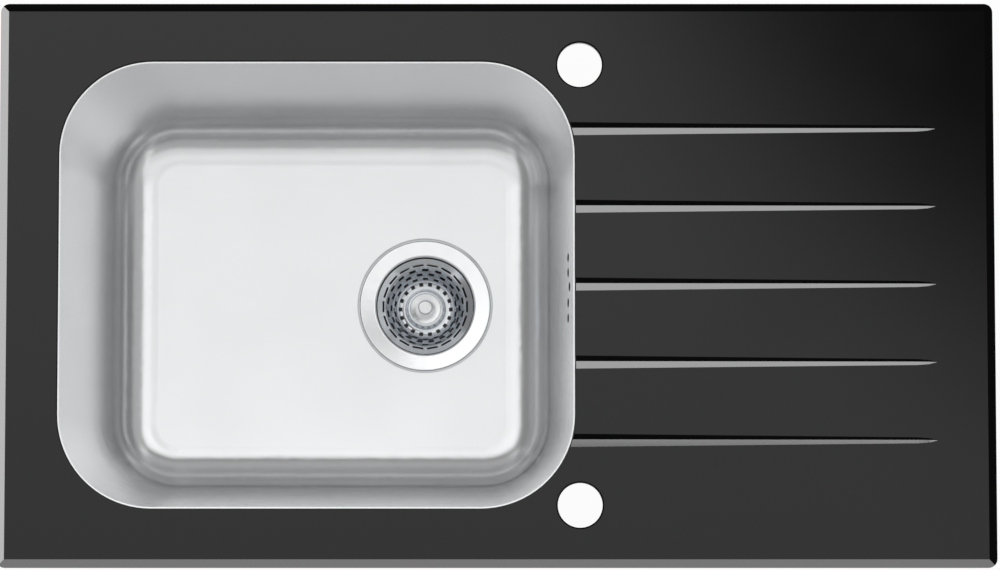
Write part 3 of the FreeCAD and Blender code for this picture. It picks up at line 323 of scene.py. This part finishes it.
def makeClampScrew(number):
    name = f"clamp_screw_{number}"
    low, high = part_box(name)
    under = low.z + clampScrew["headHeight"]
    seat = under + clampScrew["flangeHeight"]
    shape = bmesh.new()
    addTurned(shape, clampScrew["steps"], clampScrew["root"], under, high.z)
    bevelEdges(shape, edgesAt(shape, high.z), clampScrew["point"], 1)
    addTurned(shape, clampScrew["flangeSides"], clampScrew["flange"], under, seat)
    addTurned(shape, clampScrew["headSides"], clampScrew["acrossFlats"] / math.sqrt(3), low.z,
              under + clampScrew["headOverlap"])
    bevelEdges(shape, edgesAt(shape, low.z) + edgesAt(shape, seat), clampScrew["chamfer"], 2)
    windThread(shape, clampScrew, seat, high.z - clampScrew["point"])
    centreOn(shape, low, high)
    finishPiece(f"clampScrew{number}", shape, name, "zinc_steel", name)


# The outlet's thread takes the trap's nut.
outletThread = {"root": 0.0239, "crest": 0.0248, "sunk": 0.0001, "shares": (0.02, 0.42, 0.58, 0.98),
                "pitch": 0.0023, "steps": 64, "start": 0.003, "length": 0.03}


def makeOutletThread():
    # the washer lies on the outlet's axis
    low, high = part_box("waste_washer")
    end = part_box("waste_body")[0].z + outletThread["start"]
    shape = bmesh.new()
    windThread(shape, outletThread, end, end + outletThread["length"])
    centreOn(shape, low, high)
    finishPiece("outletThread", shape, "sink", "white_plastic")


# Foam tape between tray and worktop, with edges that the die cut has rounded over.
foamSeal = {"width": 0.010, "corner": 0.004, "edge": 0.0004}


def makeFoamSeal():
    low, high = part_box("rim_seal")
    height = high.z - low.z
    shape = bmesh.new()
    bmesh.ops.create_grid(shape, x_segments=1, y_segments=1, size=1.0)
    bmesh.ops.scale(shape, verts=shape.verts, vec=(high.x, high.y, 1.0))
    middle = shape.faces[:]
    bmesh.ops.inset_region(shape, faces=middle, thickness=foamSeal["width"], use_boundary=True,
                           use_even_offset=True)
    bmesh.ops.delete(shape, geom=middle, context="FACES")
    raised = bmesh.ops.extrude_face_region(shape, geom=shape.faces[:])["geom"]
    bmesh.ops.translate(shape, verts=[v for v in raised if isinstance(v, bmesh.types.BMVert)], vec=(0, 0, height))
    upright = [edge for edge in shape.edges if edge.verts[0].co.z != edge.verts[1].co.z]
    bevelEdges(shape, upright, foamSeal["corner"], 6)
    bevelEdges(shape, edgesAt(shape, 0) + edgesAt(shape, height), foamSeal["edge"], 2)
    bmesh.ops.translate(shape, verts=shape.verts, vec=(0, 0, low.z))
    finishPiece("foamSeal", shape, "sink", "grey_foam", "rim_seal")


# Spot welds hold the ribs' feet to the tray. Crown and brim are shares of the weld's radius.
weldSpot = {"radius": 0.0026, "crown": 0.7, "brim": 0.25, "sides": 20, "proud": 0.0003, "dish": 0.0002,
            "pitch": 0.04, "rows": (0.044, 0.076), "sheet": 0.001}


def makeWeldSpots():
    low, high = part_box("drainer_ribs")
    foot = high.z - weldSpot["sheet"]
    radius = weldSpot["radius"]
    shape = bmesh.new()
    count = round((high.x - low.x) / weldSpot["pitch"])
    for row in weldSpot["rows"]:
        for y in (-row, row):
            for i in range(count):
                x = low.x + (i + 0.5) * (high.x - low.x) / count
                bmesh.ops.create_cone(shape, cap_ends=True, segments=weldSpot["sides"],
                                      radius1=weldSpot["crown"] * radius, radius2=radius,
                                      depth=2 * weldSpot["proud"], matrix=Matrix.Translation((x, y, foot)))
    crowns = [face for face in shape.faces if liesAt(foot - weldSpot["proud"], face.verts)]
    bmesh.ops.inset_individual(shape, faces=crowns, thickness=weldSpot["brim"] * radius, depth=-weldSpot["dish"])
    finishPiece("weldSpots", shape, "sink", "zinc_steel")


# Black rubber rings, shaped like lips of the overflow gasket, line the five punched holes. They are painted shade:
# a dark lining that makes the holes read dark from above. The middle hole lies higher than the others.
overflowShadeLip = {"holes": 5, "hole": 0.0035, "sunk": 0.0002, "wall": 0.0005, "proud": 0.0001, "chamfer": 0.00015,
               "steps": 32, "sheet": 0.0008, "gasket": 0.002, "reach": 0.0005, "slope": 0.1315, "pitch": 0.012,
               "low": -0.003, "high": 0.004}


def makeOverflowShadeLips():
    low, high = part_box("overflow_gasket")
    angle = math.atan(overflowShadeLip["slope"])
    normal = Vector((math.cos(angle), 0, -math.sin(angle)))
    wall = (low + high) / 2 - normal * overflowShadeLip["gasket"] / 2
    front, back = -overflowShadeLip["sheet"] / normal.x - overflowShadeLip["proud"], overflowShadeLip["reach"]
    inner, outer = overflowShadeLip["hole"] - overflowShadeLip["wall"], overflowShadeLip["hole"] + overflowShadeLip["sunk"]
    cut = overflowShadeLip["chamfer"]
    profile = ((front, inner + cut), (front + cut, inner), (back, inner), (back, outer), (front + cut, outer),
               (front, outer - cut))
    half = overflowShadeLip["holes"] // 2
    shape = bmesh.new()
    for place in range(-half, half + 1):
        centre = Vector((0, place * overflowShadeLip["pitch"], overflowShadeLip["low"] if place else overflowShadeLip["high"]))
        corners, sides = addLoop(shape, [centre + Vector((x, 0, radius)) for x, radius in profile])
        bmesh.ops.spin(shape, geom=corners + sides, cent=centre, axis=(1, 0, 0), angle=2 * math.pi,
                       steps=overflowShadeLip["steps"], use_merge=True)
    # the lips follow the wall, which leans outwards
    lean = Matrix.Identity(4)
    lean[0][2] = overflowShadeLip["slope"]
    bmesh.ops.transform(shape, matrix=Matrix.Translation(wall) @ lean, verts=shape.verts)
    # the black rings are painted shade inside the overflow holes
    finishPiece("overflowShadeLips", shape, "sink", "black_rubber")


for number in range(1, clampScrew["count"] + 1):
    makeClampScrew(number)
makeOutletThread()
makeFoamSeal()
makeWeldSpots()
makeOverflowShadeLips()
print("detail pieces made")


# The studio: a soft box overhead that brightens towards the back and the sides, a dim room and a black flag at the
# right. Places are tangents of the angle from straight up, seen from the object, and each is given with its level.
studio = {
    "room": 0.04, "lowest": 0.02,
    "lean": {"from": (0.05, 0.953), "to": (0.16, 1.195)},
    "side": {"from": (0.7, 1.0), "to": (0.92, 0.0)},
    "front": {"from": (-0.1, 0.0), "to": (-0.01, 1.0)},
    "back": {"from": (0.6, 1.0), "to": (0.9, 0.0)},
    "wings": {"from": (0.12, 1.0), "to": (0.3, 1.07)},
    "flag": {"towards": (0.172, 0.231, 0.0), "from": (0.12, 0.058), "to": (0.186, 1.0)},
}


def makeWorld():
    world = bpy.data.worlds.new("studio")
    scene.world = world
    world.use_nodes = True
    world.cycles.sampling_method = "NONE"
    tree = world.node_tree
    tree.nodes.clear()
    spot = addNode(tree, "ShaderNodeTexCoord", {})
    way = addNode(tree, "ShaderNodeSeparateXYZ", {}, {"Vector": spot.outputs["Generated"]})
    rise = addMath(tree, "MAXIMUM", way.outputs["Z"], studio["lowest"])
    across = addMath(tree, "DIVIDE", way.outputs["X"], rise)
    along = addMath(tree, "DIVIDE", way.outputs["Y"], rise)
    wide = addMath(tree, "ABSOLUTE", across)
    place = addNode(tree, "ShaderNodeCombineXYZ", {}, {"X": across, "Y": along})
    apart = addNode(tree, "ShaderNodeVectorMath", {"operation": "DISTANCE", 1: studio["flag"]["towards"]},
                    {0: place.outputs[0]}).outputs["Value"]
    level = 1.0
    for name, value, kind in (("side", wide, "SMOOTHSTEP"), ("front", along, "SMOOTHSTEP"),
                              ("back", along, "SMOOTHSTEP"), ("lean", along, "LINEAR"),
                              ("wings", wide, "SMOOTHSTEP"), ("flag", apart, "SMOOTHSTEP")):
        fade = fadeBetween(tree, value, studio[name]["from"], studio[name]["to"], kind)
        level = addMath(tree, "MULTIPLY", level, fade)
    strength = addMath(tree, "MAXIMUM", level, studio["room"])
    lit = addNode(tree, "ShaderNodeBackground", {"Color": (1, 1, 1, 1)}, {"Strength": strength})
    plain = addNode(tree, "ShaderNodeBackground", {"Color": (1, 1, 1, 1), "Strength": 1.0})
    ray = addNode(tree, "ShaderNodeLightPath", {})
    # only reflections see the studio; the rest of the scene has an even white sky
    sky = addNode(tree, "ShaderNodeMixShader", {}, {0: ray.outputs["Is Glossy Ray"], 1: plain.outputs[0],
                                                    2: lit.outputs[0]})
    addNode(tree, "ShaderNodeOutputWorld", {}, {"Surface": sky.outputs[0]})


# Panels that only the glass sees light its bevels and the near sides of its grooves. The glass doesn't see the
# others: the walls of the room, a box and a fill in front, which light the back edge of the bowl's floor, and a
# fill that keeps the flag off the bowl. A panel aims at the middle of the part unless it says otherwise.
panels = {
    "leftPanel": {"azimuth": 180, "elevation": 35, "size": (4.0, 0.8), "radiance": 13, "for": "glass",
                  "aim": (-0.39, 0)},
    "frontPanel": {"azimuth": -90, "elevation": 45, "size": (4.0, 0.8), "radiance": 5, "for": "glass",
                   "aim": (0, -0.22)},
    "backPanel": {"azimuth": 90, "elevation": 54, "size": (4.0, 0.8), "radiance": 9, "for": "glass",
                  "aim": (0.2, 0)},
    "leftWall": {"azimuth": 180, "elevation": 28, "size": (6.0, 2.4), "radiance": 0.24, "for": "rest"},
    "rightWall": {"azimuth": 0, "elevation": 28, "size": (6.0, 2.4), "radiance": 0.45, "for": "rest"},
    "backWall": {"azimuth": 90, "elevation": 24, "size": (6.0, 2.4), "radiance": 0.42, "for": "rest"},
    "frontWall": {"azimuth": -90, "elevation": 28, "size": (6.0, 2.4), "radiance": 0.42, "for": "rest"},
    "frontBox": {"azimuth": -90, "elevation": 69.5, "size": (5.4, 2.0), "radiance": 0.8, "for": "rest"},
    "frontFill": {"azimuth": -90, "elevation": 79, "size": (5.4, 1.1), "radiance": 0.16, "for": "bowl"},
    "flagFill": {"azimuth": 53.3, "elevation": 73.9, "size": (6.0, 6.0), "radiance": 0.85, "for": "bowl",
                 "shape": "ELLIPSE", "distance": 20.0},
}
plainPanel = {"aim": (0, 0), "shape": "RECTANGLE", "distance": 3.0}


def makePanels():
    groups = {name: bpy.data.collections.new(name) for name in ("glass", "bowl", "rest")}
    groups["glass"].objects.link(nodes["glass_top"])
    groups["bowl"].objects.link(nodes["bowl"])
    for piece in [o for o in scene.objects if o.type == "MESH" and o is not nodes["glass_top"]]:
        groups["rest"].objects.link(piece)
    for name, values in panels.items():
        panel = {**plainPanel, **values}
        lamp = bpy.data.lights.new(name, "AREA")
        lamp.shape = panel["shape"]
        lamp.size, lamp.size_y = panel["size"]
        area = lamp.size * lamp.size_y * (math.pi / 4 if lamp.shape == "ELLIPSE" else 1.0)
        lamp.energy = panel["radiance"] * math.pi * area
        around, up = math.radians(panel["azimuth"]), math.radians(panel["elevation"])
        way = Vector((math.cos(around) * math.cos(up), math.sin(around) * math.cos(up), math.sin(up)))
        holder = bpy.data.objects.new(name, lamp)
        holder.location = Vector((*panel["aim"], 0)) + way * panel["distance"]
        holder.rotation_euler = (-way).to_track_quat("-Z", "Y").to_euler()
        holder.visible_camera = False
        holder.visible_diffuse = False
        holder.light_linking.receiver_collection = groups[panel["for"]]
        scene.collection.objects.link(holder)


# A matt white paper sweep just below the part. It glows to the camera and in reflections, and can't be seen from
# below.
floorLook = {"size": 6.0, "gap": 0.002, "glow": 0.93, "tone": "#e9e9e9", "roughness": 0.9}


def makeFloor():
    mesh = bpy.data.meshes.new("paleFloor")
    shape = bmesh.new()
    bmesh.ops.create_grid(shape, x_segments=1, y_segments=1, size=floorLook["size"])
    bmesh.ops.translate(shape, verts=shape.verts, vec=(0, 0, cadLow.z - floorLook["gap"]))
    shape.to_mesh(mesh)
    shape.free()
    floor = bpy.data.objects.new("paleFloor", mesh)
    scene.collection.objects.link(floor)
    settings = {"Roughness": floorLook["roughness"], "Base Color": toLinear(floorLook["tone"])}
    material, tree, surface = newMaterial("paper sweep, matt white", settings)
    ray = addNode(tree, "ShaderNodeLightPath", {})
    seen = addMath(tree, "MAXIMUM", ray.outputs["Is Camera Ray"], ray.outputs["Is Glossy Ray"])
    share = addMath(tree, "MULTIPLY", seen, floorLook["glow"])
    glow = addNode(tree, "ShaderNodeEmission", {"Color": (1, 1, 1, 1), "Strength": 1.0})
    mixed = addNode(tree, "ShaderNodeMixShader", {}, {0: share, 1: surface.outputs[0], 2: glow.outputs[0]})
    back = addNode(tree, "ShaderNodeNewGeometry", {})
    clear = addNode(tree, "ShaderNodeBsdfTransparent", {})
    sided = addNode(tree, "ShaderNodeMixShader", {}, {0: back.outputs["Backfacing"], 1: mixed.outputs[0],
                                                      2: clear.outputs[0]})
    tree.links.new(sided.outputs[0], tree.nodes["Material Output"].inputs["Surface"])
    mesh.materials.append(material)


# The photograph's camera looks down from far above, a little from the front.
photoCamera = {"lens": 198.0, "sensor": 36.0, "place": (0.0026, -0.458, 4.287), "tilt": 6.1, "clip": (0.1, 50)}


def makeCamera():
    camera = bpy.data.cameras.new("photoCamera")
    camera.lens = photoCamera["lens"]
    camera.sensor_width = photoCamera["sensor"]
    camera.clip_start, camera.clip_end = photoCamera["clip"]
    holder = bpy.data.objects.new("photoCamera", camera)
    holder.location = photoCamera["place"]
    holder.rotation_euler = (math.radians(photoCamera["tilt"]), 0, 0)
    scene.collection.objects.link(holder)
    scene.camera = holder


makeWorld()
makePanels()
makeFloor()
makeCamera()
print("studio and camera ready")
